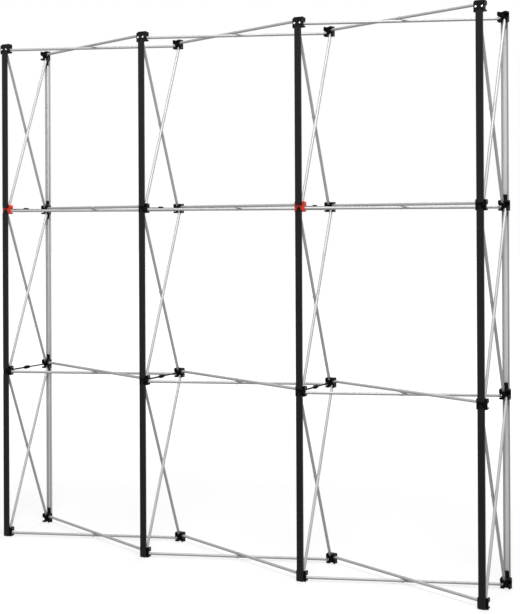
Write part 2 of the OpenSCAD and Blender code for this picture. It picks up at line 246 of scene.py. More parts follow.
class Board(Wiring):
    """A material's node tree with short calls for patterns on its Principled surface."""

    def __init__(self, name: str) -> None:
        """Starts a tree with its surface.

        Args:
            name: Name of the new material.
        """
        self.material: Material = bpy.data.materials.new(name)
        self.material.use_nodes = True
        super().__init__(self.material.node_tree)
        self.surface = self.add("ShaderNodeBsdfPrincipled")
        self.add("ShaderNodeOutputMaterial", Surface=self.surface.outputs["BSDF"])

    def place(self, scale: Sequence[float], turn: Sequence[float] = (0, 0, 0)) -> Socket:
        """Object coordinates, turned and then stretched.

        Args:
            scale: Scale of the pattern along the turned axes, in repeats per metre.
            turn: Turn of the axes in radians.

        Returns:
            The vector socket to read the pattern with.
        """
        origin = self.add("ShaderNodeTexCoord").outputs["Object"]
        turning = self.add("ShaderNodeMapping", Vector=origin, Rotation=turn)
        stretching = self.add("ShaderNodeMapping", Vector=turning.outputs["Vector"], Scale=scale)
        return stretching.outputs["Vector"]

    def noise(self, vector: Socket, scale: float, detail: float = 3.0,
              rough: float = 0.55) -> Socket:
        """A noise value read at vector.

        Args:
            vector: Where it is read.
            scale: Further scale of the noise.
            detail: Octaves.
            rough: How strong the finer octaves are.

        Returns:
            The value socket, from about 0.2 to 0.8.
        """
        node = self.add("ShaderNodeTexNoise", Vector=vector, Scale=scale, Detail=detail,
                        Roughness=rough)
        return node.outputs["Fac"]

    def span(self, value: Socket, low: float, high: float, from_low: float = 0.3,
             from_high: float = 0.7) -> Socket:
        """Maps a value to a new range, clamped.

        Args:
            value: The value.
            low: Start of the new range.
            high: End of the new range.
            from_low: Start of the old range.
            from_high: End of the old range.

        Returns:
            The mapped value's socket.
        """
        node = self.add("ShaderNodeMapRange", Value=value, From_Min=from_low, From_Max=from_high,
                        To_Min=low, To_Max=high)
        return node.outputs["Result"]

    def blend(self, fac: Socket, first: Colour | Socket, second: Colour) -> Socket:
        """Mixes two colours by a value.

        Args:
            fac: The value: 0 for the first colour, 1 for the second.
            first: A plain colour, or a pattern's socket.
            second: A plain colour.

        Returns:
            The mixed colour's socket.
        """
        node = self.add("ShaderNodeMix", data_type="RGBA")
        low, high = (socket for socket in node.inputs if socket.type == "RGBA")
        if isinstance(first, Socket):
            self.wire(first, low)
        else:
            low.default_value = (*first, 1)
        high.default_value = (*second, 1)
        self.wire(fac, node.inputs[0])
        return next(socket for socket in node.outputs if socket.type == "RGBA")

    def bump(self, height: Socket, strength: float, distance: float,
             below: Socket | None = None) -> Socket:
        """A bump normal.

        Args:
            height: The height that is read.
            strength: How much of it shows.
            distance: Depth of a full step, in metres.
            below: A normal to add it to.

        Returns:
            The normal socket.
        """
        node = self.add("ShaderNodeBump", Height=height, Strength=strength, Distance=distance)
        if below is not None:
            self.put(node, Normal=below)
        return node.outputs["Normal"]


def tint(colour: Colour, factor: float) -> Colour:
    """A colour made lighter or darker."""
    return (colour[0] * factor, colour[1] * factor, colour[2] * factor)


# ---------------------------------------------------------------- finishes
@dataclass(frozen=True)
class Finish:
    """A surface's look, whose material is made once."""

    name: str
    colour: Colour
    roughness: float = 0.4
    shades: tuple[float, float] = (0.9, 1.1)
    dulling: tuple[float, float] = (-0.05, 0.07)

    def material(self) -> Material:
        """Makes the material, or finds it if it is already there.

        Returns:
            The material.
        """
        made = bpy.data.materials.get(self.name)
        if made is not None:
            return made
        board = Board(self.name)
        self.paint(board)
        return board.material

    def paint(self, board: Board) -> None:
        """Puts the finish's patterns on a new material's surface."""
        raise NotImplementedError

    def tones(self, board: Board, pattern: Socket) -> Socket:
        """The colour, darker and lighter by a pattern."""
        dark, light = self.shades
        return board.blend(pattern, tint(self.colour, dark), tint(self.colour, light))

    def gloss(self, board: Board, pattern: Socket) -> Socket:
        """The roughness, less and more by a pattern."""
        less, more = self.dulling
        return board.span(pattern, self.roughness + less, self.roughness + more)


@dataclass(frozen=True)
class MouldedPlastic(Finish):
    """Injection-moulded plastic with a fine spark-eroded grain and faint handling scuffs."""

    roughness: float = 0.42
    shades: tuple[float, float] = (0.85, 1.2)
    dulling: tuple[float, float] = (-0.06, 0.08)
    specular: float = 0.5
    scuffs: float = 0.5
    scuffed_from: tuple[float, float] = (0.6, 0.78)
    scuff_stretch: Triple = (1.0, 1.0, 2.5)
    scuff_scale: float = 260.0
    scuff_gain: float = 1.5
    scuff_haze: float = 0.02
    flow_scale: float = 45.0
    grain_scale: float = 2600.0
    grain: float = 0.25
    grain_depth: float = 0.06 * MM

    def paint(self, board: Board) -> None:
        """Puts flow marks, pale scuffs and grain on the surface.

        Args:
            board: The new material's tree.
        """
        flow = board.noise(board.place(EVEN), self.flow_scale)
        wear = board.noise(board.place(self.scuff_stretch), self.scuff_scale, 4, 0.7)
        scuffed = board.span(wear, 0, self.scuffs, *self.scuffed_from)
        pale = tuple(min(1.0, c * self.scuff_gain + self.scuff_haze) for c in self.colour)
        fine = board.noise(board.place(EVEN), self.grain_scale, 2)
        board.put(board.surface, Specular_IOR_Level=self.specular,
                  Base_Color=board.blend(scuffed, self.tones(board, flow), pale),
                  Roughness=self.gloss(board, flow),
                  Normal=board.bump(fine, self.grain, self.grain_depth))


@dataclass(frozen=True)
class DrawnMetal(Finish):
    """Drawn or extruded metal with fine lines along its turned X axis, handled and dull."""

    roughness: float = 0.3
    shades: tuple[float, float] = (0.93, 1.05)
    turn: Triple = UPRIGHT
    metallic: float = 0.4
    specular: float = 0.5
    edge: float = 0.5
    lines: float = 0.35
    line_scale: float = 900.0
    line_depth: float = 0.03 * MM
    line_dulling: tuple[float, float] = (-0.03, 0.05)
    cloud_stretch: Triple = (2.2, 9.0, 9.0)

    def paint(self, board: Board) -> None:
        """Puts drawing lines and a dull cloud on the surface.

        Args:
            board: The new material's tree.
        """
        across = (6, self.line_scale, self.line_scale)
        streak = board.noise(board.place(across, self.turn), 1, 2, 0.6)
        cloud = board.noise(board.place(self.cloud_stretch, self.turn), 2)
        dull = board.reckon("ADD", self.gloss(board, cloud),
                            board.span(streak, *self.line_dulling))
        board.put(board.surface, Metallic=self.metallic, Specular_IOR_Level=self.specular,
                  Specular_Tint=(self.edge, self.edge, self.edge, 1),
                  Base_Color=self.tones(board, streak), Roughness=dull,
                  Normal=board.bump(streak, self.lines, self.line_depth))


@dataclass(frozen=True)
class TurnedSteel(Finish):
    """Turned and polished steel with a faint grain."""

    colour: Colour = (0.72, 0.72, 0.74)
    roughness: float = 0.2
    shades: tuple[float, float] = (0.9, 1.0)
    dulling: tuple[float, float] = (-0.05, 0.08)
    grain: float = 0.1
    grain_scale: float = 1400.0
    grain_depth: float = 0.02 * MM

    def paint(self, board: Board) -> None:
        """Puts the grain on the surface.

        Args:
            board: The new material's tree.
        """
        grain = board.noise(board.place(EVEN), self.grain_scale)
        board.put(board.surface, Metallic=1.0, Base_Color=self.tones(board, grain),
                  Roughness=self.gloss(board, grain),
                  Normal=board.bump(grain, self.grain, self.grain_depth))


@dataclass(frozen=True)
class MagneticRubber(Finish):
    """Extruded magnetic strip: dull, speckled, with fine lines along Z."""

    colour: Colour = (0.008, 0.008, 0.008)
    roughness: float = 0.55
    shades: tuple[float, float] = (0.75, 1.3)
    specular: float = 0.12
    speck: float = 0.2
    speck_scale: float = 1500.0
    lines: float = 0.3
    line_scale: float = 700.0
    cloud_scale: float = 30.0
    depth: float = 0.04 * MM

    def paint(self, board: Board) -> None:
        """Puts specks, lines and a dull cloud on the surface.

        Args:
            board: The new material's tree.
        """
        speck = board.noise(board.place((1, 1, 0.4)), self.speck_scale, 3, 0.7)
        lines = board.noise(board.place((self.line_scale, self.line_scale, 3)), 1, 2)
        cloud = board.noise(board.place((1, 1, 0.25)), self.cloud_scale)
        drawn = board.bump(lines, self.lines, self.depth)
        board.put(board.surface, Specular_IOR_Level=self.specular,
                  Base_Color=self.tones(board, speck), Roughness=self.gloss(board, cloud),
                  Normal=board.bump(speck, self.speck, self.depth, drawn))


HUB_BLACK = MouldedPlastic("hub_moulded_black", (0.0035, 0.0035, 0.0036), specular=0.05)
HUB_RED = MouldedPlastic("hub_moulded_red", (0.64, 0.026, 0.012), 0.36, scuffs=0.15, specular=0.3)
END_BLACK = MouldedPlastic("bar_end_black", (0.005, 0.005, 0.005), 0.46, specular=0.07)
ARM_BLACK = MouldedPlastic("arm_moulded_black", (0.003, 0.003, 0.003), 0.36, specular=0.04)
RIVET = TurnedSteel("rivet_turned", (0.78, 0.78, 0.79), 0.3)
STEEL = TurnedSteel("pin_ground_steel")
STUD = TurnedSteel("stud_polished", (0.86, 0.86, 0.87), 0.14)
BAR_BLACK = DrawnMetal("bar_anodised_black", (0.008, 0.008, 0.008), 0.36, metallic=0.0, edge=1.0,
                       lines=0.25, specular=0.14)
BAR_SILVER = DrawnMetal("bar_anodised_silver", (0.6, 0.6, 0.61), 0.36, lines=0.3)
# Painted shade: a darker copy of the silver anodising, put on the rear bars' lips as the shade along
# the channel's opening.
BAR_LIP_SHADE = DrawnMetal("bar_lip_mill_finish", (0.27, 0.27, 0.275), 0.42, lines=0.4)
STRIP = MagneticRubber("magnetic_strip")


# ---------------------------------------------------------------- mesh helpers
MERGED_WITHIN = 2e-6
SAME_PLANE = math.radians(0.3)
EASED_FROM = math.radians(35)
CRISP_FROM = math.radians(28)
CRISP_ON_REPEATS = math.radians(32)


def placed(name: str, data: bpy.types.ID) -> Object:
    """Puts a mesh, camera or light in the scene, at the origin.

    Args:
        name: Name of the new object.
        data: What it holds.

    Returns:
        The new object.
    """
    thing = bpy.data.objects.new(name, data)
    bpy.context.scene.collection.objects.link(thing)
    return thing


def plain_copy(node: Object, name: str) -> Object:
    """A copy of a CAD node's mesh, merged, with its flat faces whole again.

    Args:
        node: The CAD node.
        name: Name of the new object.

    Returns:
        The new object, at the origin.
    """
    mesh = bpy.data.meshes.new(name)
    work = bmesh.new()
    work.from_mesh(node.data)
    bmesh.ops.remove_doubles(work, verts=work.verts, dist=MERGED_WITHIN)
    bmesh.ops.dissolve_limit(work, angle_limit=SAME_PLANE, verts=work.verts, edges=work.edges)
    work.to_mesh(mesh)
    work.free()
    return placed(name, mesh)


def baked(piece: Object) -> Object:
    """Applies a piece's modifiers and leaves a plain mesh.

    Args:
        piece: The piece.

    Returns:
        The same piece.
    """
    bpy.context.view_layer.update()
    graph = bpy.context.evaluated_depsgraph_get()
    mesh = bpy.data.meshes.new_from_object(piece.evaluated_get(graph))
    piece.modifiers.clear()
    old = piece.data
    piece.data = mesh
    if old.users == 0:
        bpy.data.meshes.remove(old)
    piece.data.name = piece.name
    return piece


def softened(node: Object, name: str, finish: Material, width: float = 0.35 * MM) -> Object:
    """A copy of a CAD node with its moulded edges eased.

    Args:
        node: The CAD node.
        name: Name of the new piece.
        finish: Its material.
        width: Width of the eased edge, in metres.

    Returns:
        The new piece, a plain mesh with smooth curves and crisp flats.
    """
    piece = plain_copy(node, name)
    bevel = piece.modifiers.new("eased_edges", "BEVEL")
    bevel.width = width
    bevel.segments = 2
    bevel.limit_method = "ANGLE"
    bevel.angle_limit = EASED_FROM
    bevel.use_clamp_overlap = False
    bevel.miter_outer = "MITER_ARC"
    baked(piece)
    piece.data.polygons.foreach_set("use_smooth", [True] * len(piece.data.polygons))
    piece.data.set_sharp_from_angle(angle=CRISP_FROM)
    weigh = piece.modifiers.new("flat_shading", "WEIGHTED_NORMAL")
    weigh.keep_sharp = True
    baked(piece)
    piece.data.materials.clear()
    piece.data.materials.append(finish)
    return piece


def dress(node: Object, *finishes: Material) -> Object:
    """Puts finishes in a CAD node's material slots.

    Args:
        node: The CAD node.
        *finishes: Its materials; the first is on every face.

    Returns:
        The same node.
    """
    node.data.materials.clear()
    for finish in finishes:
        node.data.materials.append(finish)
    for face in node.data.polygons:
        face.material_index = 0
    return node


# ---------------------------------------------------------------- geometry nodes
class GeometryBoard(Wiring):
    """A geometry node tree with named inputs and short calls for its shapes."""

    def __init__(self, name: str, sizes: dict[str, float]) -> None:
        """Starts a tree.

        Args:
            name: Name of the tree.
            sizes: Named inputs and their defaults, in metres.
        """
        super().__init__(bpy.data.node_groups.new(name, "GeometryNodeTree"))
        face = self.tree.interface
        face.new_socket("Geometry", in_out="INPUT", socket_type="NodeSocketGeometry")
        for key, value in sizes.items():
            socket = face.new_socket(key, in_out="INPUT", socket_type="NodeSocketFloat")
            socket.default_value = value
        face.new_socket("Finish", in_out="INPUT", socket_type="NodeSocketMaterial")
        face.new_socket("Geometry", in_out="OUTPUT", socket_type="NodeSocketGeometry")
        self.source = self.add("NodeGroupInput")
        self.sink = self.add("NodeGroupOutput")

    def size(self, name: str) -> Socket:
        """The tree's own input of that name."""
        return self.source.outputs[name]

    def attribute(self, name: str, kind: str) -> Socket:
        """An attribute of the points, by its name and its kind of value."""
        node = self.add("GeometryNodeInputNamedAttribute", data_type=kind, Name=name)
        return next(s for s in node.outputs if s.enabled and s.name == "Attribute")

    def disc(self, radius: Socket, depth: Socket, sides: int = 24) -> Socket:
        """A round disc or rod about Z, centred on the origin.

        Args:
            radius: Its radius.
            depth: Its thickness or length.
            sides: Its flat sides.

        Returns:
            The mesh socket.
        """
        node = self.add("GeometryNodeMeshCylinder", Vertices=sides, Radius=radius, Depth=depth)
        return node.outputs["Mesh"]

    def chamfered_end(self, radius: Socket, cut: Socket, sides: int = 24) -> Socket:
        """A chamfered end for a rod, from Z = 0 up.

        Args:
            radius: The rod's radius.
            cut: Width and height of the chamfer.
            sides: The rod's flat sides.

        Returns:
            The mesh socket.
        """
        node = self.add("GeometryNodeMeshCone", Vertices=sides, Radius_Bottom=radius,
                        Radius_Top=self.reckon("SUBTRACT", radius, cut), Depth=cut)
        return node.outputs["Mesh"]

    def dome(self, radius: Socket, height: Socket, below: float = -0.01) -> Socket:
        """A low dome that stands on Z = 0, open below.

        Args:
            radius: Its radius.
            height: Its height.
            below: Rows of the whole ball lower than this, as a share of its radius, are cut off.

        Returns:
            The geometry socket.
        """
        ball = self.add("GeometryNodeMeshUVSphere", Segments=24, Rings=12, Radius=1.0)
        place = self.add("GeometryNodeInputPosition")
        apart = self.add("ShaderNodeSeparateXYZ", Vector=place.outputs[0])
        low = self.add("FunctionNodeCompare", data_type="FLOAT", operation="LESS_THAN")
        self.wire(apart.outputs["Z"], low.inputs[0])
        low.inputs[1].default_value = below
        half = self.add("GeometryNodeDeleteGeometry", domain="POINT",
                        Geometry=ball.outputs["Mesh"], Selection=low.outputs[0])
        size = self.add("ShaderNodeCombineXYZ", X=radius, Y=radius, Z=height)
        flat = self.add("GeometryNodeTransform", Geometry=half.outputs[0], Scale=size.outputs[0])
        return flat.outputs["Geometry"]

    def flipped(self, geometry: Socket) -> Socket:
        """The same geometry turned over about X."""
        turn = self.add("GeometryNodeTransform", Geometry=geometry, Rotation=(math.pi, 0, 0))
        return turn.outputs["Geometry"]

    def lifted(self, geometry: Socket, height: Socket) -> Socket:
        """Moves geometry along Z.

        Args:
            geometry: The geometry.
            height: How far it moves.

        Returns:
            The moved geometry's socket.
        """
        way = self.add("ShaderNodeCombineXYZ", Z=height)
        move = self.add("GeometryNodeTransform", Geometry=geometry, Translation=way.outputs[0])
        return move.outputs["Geometry"]

    def circle(self, radius: str, points: int) -> Socket:
        """A round curve about Z.

        Args:
            radius: Name of the input with its radius.
            points: Points round it.

        Returns:
            The curve socket.
        """
        node = self.add("GeometryNodeCurvePrimitiveCircle", Resolution=points,
                        Radius=self.size(radius))
        return node.outputs["Curve"]

    def swept(self, path: Socket, thickness: str, section: int) -> Socket:
        """A round section carried along a curve, closed at its ends.

        Args:
            path: The curve.
            thickness: Name of the input with the section's radius.
            section: Points round the section.

        Returns:
            The mesh socket.
        """
        profile = self.circle(thickness, section)
        sweep = self.add("GeometryNodeCurveToMesh", Curve=path, Profile_Curve=profile,
                         Fill_Caps=True)
        return sweep.outputs["Mesh"]

    def ring(self, radius: str, thickness: str, around: int, section: int) -> Socket:
        """A round ring about Z.

        Args:
            radius: Name of the input with the ring's radius.
            thickness: Name of the input with the radius of its round section.
            around: Points round the ring.
            section: Points round its section.

        Returns:
            The mesh socket.
        """
        return self.swept(self.circle(radius, around), thickness, section)

    def close(self, shapes: Iterable[Socket]) -> NodeTree:
        """Joins shapes, sets them on the points and ends the tree.

        Args:
            shapes: The geometry sockets that make one instance, along Z.

        Returns:
            The finished tree.
        """
        joined = self.add("GeometryNodeJoinGeometry")
        for shape in shapes:
            self.wire(shape, joined.inputs[0])
        aim = self.add("FunctionNodeAlignRotationToVector", axis="Z",
                       Vector=self.attribute("aim", "FLOAT_VECTOR"))
        place = self.add("GeometryNodeInstanceOnPoints", Points=self.size("Geometry"),
                         Instance=joined.outputs[0], Rotation=aim.outputs[0],
                         Scale=self.attribute("girth", "FLOAT"))
        real = self.add("GeometryNodeRealizeInstances", Geometry=place.outputs[0])
        smooth = self.add("GeometryNodeSetShadeSmooth", Geometry=real.outputs[0])
        paint = self.add("GeometryNodeSetMaterial", Geometry=smooth.outputs[0],
                         Material=self.size("Finish"))
        self.wire(paint.outputs[0], self.sink.inputs[0])
        return self.tree


class Repeat(Enum):
    """The shapes that repeat over the frame."""

    RIVET = "rivets"
    PIN = "pins"
    RING = "rings"
    RIB = "ribs"


def rivet_tree() -> NodeTree:
    """A whole rivet about Z: shank, washer, and at each end a flange, a dome and a centre mark.

    Returns:
        The tree.
    """
    board = GeometryBoard(Repeat.RIVET.value, {
        "Shank Radius": 2.0 * MM, "Shank Length": 25.6 * MM, "Washer Radius": 5.0 * MM,
        "Washer Thickness": 0.7 * MM, "Flange Radius": 4.5 * MM, "Flange Thickness": 0.5 * MM,
        "Flange Lift": 12.95 * MM, "Dome Radius": 3.9 * MM, "Dome Height": 1.5 * MM,
        "Dome Lift": 13.2 * MM, "Mark Radius": 1.0 * MM, "Mark Thickness": 0.16 * MM,
        "Mark Lift": 14.62 * MM})
    size = board.size
    shapes = {"Flange": board.disc(size("Flange Radius"), size("Flange Thickness")),
              "Dome": board.dome(size("Dome Radius"), size("Dome Height")),
              "Mark": board.ring("Mark Radius", "Mark Thickness", 16, 6)}
    ends = [board.lifted(shape, size(f"{part} Lift")) for part, shape in shapes.items()]
    return board.close([board.disc(size("Shank Radius"), size("Shank Length"), 16),
                        board.disc(size("Washer Radius"), size("Washer Thickness")),
                        *ends, *[board.flipped(end) for end in ends]])


def pin_tree() -> NodeTree:
    """A straight pin about Z with a chamfer at each end.

    Returns:
        The tree.
    """
    board = GeometryBoard(Repeat.PIN.value,
                          {"Radius": 2.0 * MM, "Length": 26.0 * MM, "Chamfer": 0.4 * MM})
    radius, length, cut = (board.size(key) for key in ("Radius", "Length", "Chamfer"))
    straight = board.reckon("SUBTRACT", length, board.reckon("MULTIPLY", cut, 2.0))
    end = board.lifted(board.chamfered_end(radius, cut, 20),
                       board.reckon("MULTIPLY", straight, 0.5))
    return board.close([board.disc(radius, straight, 20), end, board.flipped(end)])


def ring_tree() -> NodeTree:
    """A round ring about each point's own aim, of radius 1 before the point's girth."""
    board = GeometryBoard(Repeat.RING.value, {"Radius": 1.0, "Thickness": 0.05})
    return board.close([board.ring("Radius", "Thickness", 24, 6)])


def rib_tree() -> NodeTree:
    """A round rib over the upper side of a rod, of radius 1 before the point's girth.

    Returns:
        The tree.
    """
    board = GeometryBoard(Repeat.RIB.value, {
        "Radius": 1.0, "Thickness": 0.05, "Start": math.radians(-205),
        "Sweep": math.radians(230)})
    path = board.add("GeometryNodeCurveArc", Resolution=28, Radius=board.size("Radius"),
                     Start_Angle=board.size("Start"), Sweep_Angle=board.size("Sweep"))
    return board.close([board.swept(path.outputs["Curve"], "Thickness", 8)])


TREES: dict[Repeat, Callable[[], NodeTree]] = {
    Repeat.RIVET: rivet_tree, Repeat.PIN: pin_tree, Repeat.RING: ring_tree, Repeat.RIB: rib_tree}


@dataclass(frozen=True)
class Spot:
    """Where one repeated shape stands."""

    place: Vector
    aim: Vector
    girth: float = 1.0


def repeated(shape: Repeat, name: str, spots: Sequence[Spot], sizes: dict[str, float],
             finish: Finish) -> Object:
    """Sets a repeated shape on points and makes it a plain mesh.

    Args:
        shape: Which shape.
        name: Name of the new piece.
        spots: Where each one stands.
        sizes: Named inputs of the shape's tree, in metres.
        finish: Its finish.

    Returns:
        The new piece.
    """
    tree = bpy.data.node_groups.get(shape.value) or TREES[shape]()
    mesh = bpy.data.meshes.new(name)
    mesh.from_pydata([tuple(spot.place) for spot in spots], [], [])
    aims = mesh.attributes.new("aim", "FLOAT_VECTOR", "POINT")
    aims.data.foreach_set("vector", [n for spot in spots for n in spot.aim])
    girths = mesh.attributes.new("girth", "FLOAT", "POINT")
    girths.data.foreach_set("value", [spot.girth for spot in spots])
    piece = placed(name, mesh)
    modifier = piece.modifiers.new("repeat", "NODES")
    modifier.node_group = tree
    given = {**sizes, "Finish": finish.material()}
    for item in tree.interface.items_tree:
        if item.item_type == "SOCKET" and item.in_out == "INPUT" and item.name in given:
            modifier[item.identifier] = given[item.name]
    baked(piece)
    piece.data.set_sharp_from_angle(angle=CRISP_ON_REPEATS)
    return piece


# ---------------------------------------------------------------- sub-assemblies
@dataclass
class SubAssembly:
    """Pieces of the frame that are made together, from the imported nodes."""

    nodes: dict[str, Object]
    layout: Layout = LAYOUT

    def build(self) -> list[Object]:
        """Makes or dresses the pieces, and returns them."""
        raise NotImplementedError


@dataclass
class Hubs(SubAssembly):
    """The pinwheel hubs of both sides, with the marks that show on a moulding."""

    ease: float = 0.4 * MM
    mark_x: float = 15.2 * MM
    mark_z: float = 9.0 * MM
    mark_r: float = 1.2 * MM
    rim_r: float = 3.35 * MM
    ring_t: float = 0.09
    socket_z: tuple[float, float] = (-8.25 * MM, 13.9 * MM)
    bare_columns: tuple[int, int] = (1, 2)
    red: tuple[tuple[int, int], ...] = ((0, 1), (2, 1))
    slots: dict[str, str] = field(default_factory=lambda: {
        "front_top_hubs": "hub_black", "front_middle_hubs": "hub_black",
        "front_bottom_hubs": "hub_black", "red_hubs": "hub_red", "rear_top_hubs": "hub_black",
        "rear_middle_hubs": "hub_black", "rear_bottom_hubs": "hub_black"})

    def build(self) -> list[Object]:
        """Makes every hub's moulding and its marks.

        Returns:
            The mouldings and their marks.
        """
        pieces = []
        for node, slot in self.slots.items():
            finish = HUB_RED if slot == "hub_red" else HUB_BLACK
            piece = softened(self.nodes[node], f"{node}_moulding", finish.material(), self.ease)
            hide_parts(node)
            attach(piece, "frame")
            pieces.append(piece)
        return pieces + self.marks()

    def marks(self) -> list[Object]:
        """Makes ejector marks on every hub's four walls, and rims round the sockets that show.

        Returns:
            One piece for each kind of mark.
        """
        walls: dict[bool, list[Spot]] = {False: [], True: []}
        rims: list[Spot] = []
        for side, column, row in self.layout.hubs():
            red = side > 0 and (column, row) in self.red
            for angle in QUARTERS:
                x, z = turned(angle, self.mark_x, self.mark_z)
                top = self.layout.hub(side, column, row, x, self.layout.hub_in, z)
                walls[red].append(Spot(top, Vector((0, side, 0)), self.mark_r))
            if side < 0 and column in self.bare_columns:
                rims += [Spot(self.layout.hub(side, column, row, 0, -self.layout.hub_out, z),
                              Vector((0, 1, 0)), self.rim_r) for z in self.socket_z]
        pieces = []
        for name, slot, finish, spots in (
                ("hub_ejector_marks", "hub_black", HUB_BLACK, walls[False]),
                ("red_hub_ejector_marks", "hub_red", HUB_RED, walls[True]),
                ("hub_socket_rims", "hub_black", HUB_BLACK, rims)):
            piece = repeated(Repeat.RING, name, spots,
                             {"Radius": 1.0, "Thickness": self.ring_t}, finish)
            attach(piece, "frame")
            pieces.append(piece)
        return pieces


@dataclass
class Tubes(SubAssembly):
    """The scissor tubes, their end pins and the rivets where they cross."""

    pin_l: float = 26.0 * MM
    pin_mid: float = -7.5 * MM
    colour: Colour = (0.385, 0.385, 0.389)
    roughness: float = 0.48
    edge: float = 0.6
    # Painted light: the right-leaning column tubes get a fifth lighter colour, a painted highlight
    # for the lean that faces the key lamp.
    painted_light_gain: dict[str, float] = field(default_factory=lambda: {"column_tubes_right": 1.2})

    def build(self) -> list[Object]:
        """Dresses the tubes and makes their rivets and pins.

        Returns:
            The tubes, the rivets and the pins.
        """
        lean = self.layout.lean
        along = {"row_tubes_low": (0, 0, -lean), "row_tubes_high": (0, 0, lean),
                 "column_tubes_left": (-lean, math.pi / 2, 0),
                 "column_tubes_right": (lean, math.pi / 2, 0)}
        tubes = []
        for node, turn in along.items():
            # Lighter copy of the tube colour for the lean that catches the light: painted highlight.
            shade = tint(self.colour, self.painted_light_gain.get(node, 1.0))
            finish = DrawnMetal(f"tube_{node}", shade, self.roughness, turn=turn, edge=self.edge)
            tubes.append(dress(self.nodes[node], finish.material()))
        return [*tubes, self.rivets(), self.pins()]

    def rivets(self) -> Object:
        """Makes the rivet in the middle of every pair of crossed tubes.

        Returns:
            All rivets as one piece.
        """
        grid, half = self.layout, self.layout.pitch / 2
        bays, lines = range(grid.bays), range(grid.bays + 1)
        spots = [Spot(Vector((grid.column_x(c) + half, grid.mid_y, grid.row_z(r))),
                      Vector((0, 0, 1))) for c in bays for r in lines]
        spots += [Spot(Vector((grid.column_x(c), grid.mid_y, grid.row_z(r) - half)),
                       Vector((1, 0, 0))) for c in lines for r in bays]
        piece = repeated(Repeat.RIVET, "rivets_turned", spots, {}, RIVET)
        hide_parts("cross_rivets")
        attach(piece, "frame")
        return piece

    def pins(self) -> Object:
        """Makes the pin through every tube end.

        Returns:
            All pins as one piece.
        """
        grid, spots = self.layout, []
        for side, column, row in grid.hubs():
            for angle in grid.used_slots(column if side > 0 else grid.bays - column, row):
                x, z = turned(angle, grid.pin_reach, self.pin_mid)
                aim_x, aim_z = turned(angle, 0, 1)
                spots.append(Spot(grid.hub(side, column, row, x, 0, z),
                                  Vector((aim_x * side, 0, aim_z))))
        piece = repeated(Repeat.PIN, "pins_ground", spots, {"Length": self.pin_l}, STEEL)
        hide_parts("tube_pins")
        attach(piece, "frame")
        return piece


@dataclass
class Bars(SubAssembly):
    """The channel bars of both sides with their strips and end plugs."""

    ease: float = 0.3 * MM
    strip_half: float = 11.35 * MM
    strip_t: float = 1.05 * MM
    lip_t: float = 1.05 * MM

    def build(self) -> list[Object]:
        """Dresses every bar and makes its end plugs.

        Returns:
            The bars and the plugs.
        """
        pieces = []
        for name, node in self.nodes.items():
            if name.startswith("front_bar_"):
                pieces.append(self.dress_front(node, int(name.split("_")[2]) - 1))
            elif name.startswith("rear_bar_"):
                pieces.append(self.dress_rear(node))
            elif "_ends_" in name:
                piece = softened(node, f"{name}_moulding", END_BLACK.material(), self.ease)
                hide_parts(name)
                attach(piece, name.replace("_ends_", "_rail_"))
                pieces.append(piece)
        return pieces

    def dress_front(self, node: Object, column: int) -> Object:
        """Black channel, with the magnetic strip picked out by its place.

        Args:
            node: The front bar's CAD node.
            column: Its column, counted from the left.

        Returns:
            The same node.
        """
        dress(node, BAR_BLACK.material(), STRIP.material())
        x, front = self.layout.column_x(column), self.layout.face_y + self.strip_t
        return self.pick_out(node, lambda at: abs(at.x - x) < self.strip_half and at.y < front)

    def dress_rear(self, node: Object) -> Object:
        """Silver channel, with its lips beside the long opening painted darker as shade and picked
        out by their place.

        Args:
            node: The rear bar's CAD node.

        Returns:
            The same node.
        """
        # The lips get the darker copy of the silver as painted shade.
        dress(node, BAR_SILVER.material(), BAR_LIP_SHADE.material())
        lips = self.layout.rear_y + self.layout.bar_back + self.lip_t
        return self.pick_out(node, lambda at: at.y < lips)

    @staticmethod
    def pick_out(node: Object, inside: Callable[[Vector], bool]) -> Object:
        """Gives a bar's second finish to the faces whose corners all pass a test.

        Args:
            node: The bar's CAD node.
            inside: The test of a corner's place.

        Returns:
            The same node.
        """
        chosen = [inside(vertex.co) for vertex in node.data.vertices]
        for polygon in node.data.polygons:
            if all(chosen[v] for v in polygon.vertices):
                polygon.material_index = 1
        return node


@dataclass
class Hangers(SubAssembly):
    """The blocks on the top hubs and their polished studs."""

    drop: float = 5.0 * MM
    stud_x: float = 12.0 * MM
    collar_r: float = 3.3 * MM
    collar_t: float = 0.1

    def build(self) -> list[Object]:
        """Makes the blocks and the studs' collars, and dresses the studs.

        Returns:
            The blocks, the studs and the collars.
        """
        blocks = softened(self.nodes["hanger_blocks"], "hanger_block_mouldings",
                          END_BLACK.material())
        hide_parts("hanger_blocks")
        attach(blocks, "frame")
        studs = dress(self.nodes["hanger_pins"], STUD.material())
        grid = self.layout
        spots = [Spot(Vector((grid.column_x(c) + x, grid.face_y, grid.row_z(0) - self.drop)),
                      Vector((0, 1, 0)), self.collar_r)
                 for c in range(grid.bays + 1) for x in (-self.stud_x, self.stud_x)]
        collars = repeated(Repeat.RING, "hanger_stud_collars", spots,
                           {"Radius": 1.0, "Thickness": self.collar_t}, STUD)
        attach(collars, "frame")
        return [blocks, studs, collars]


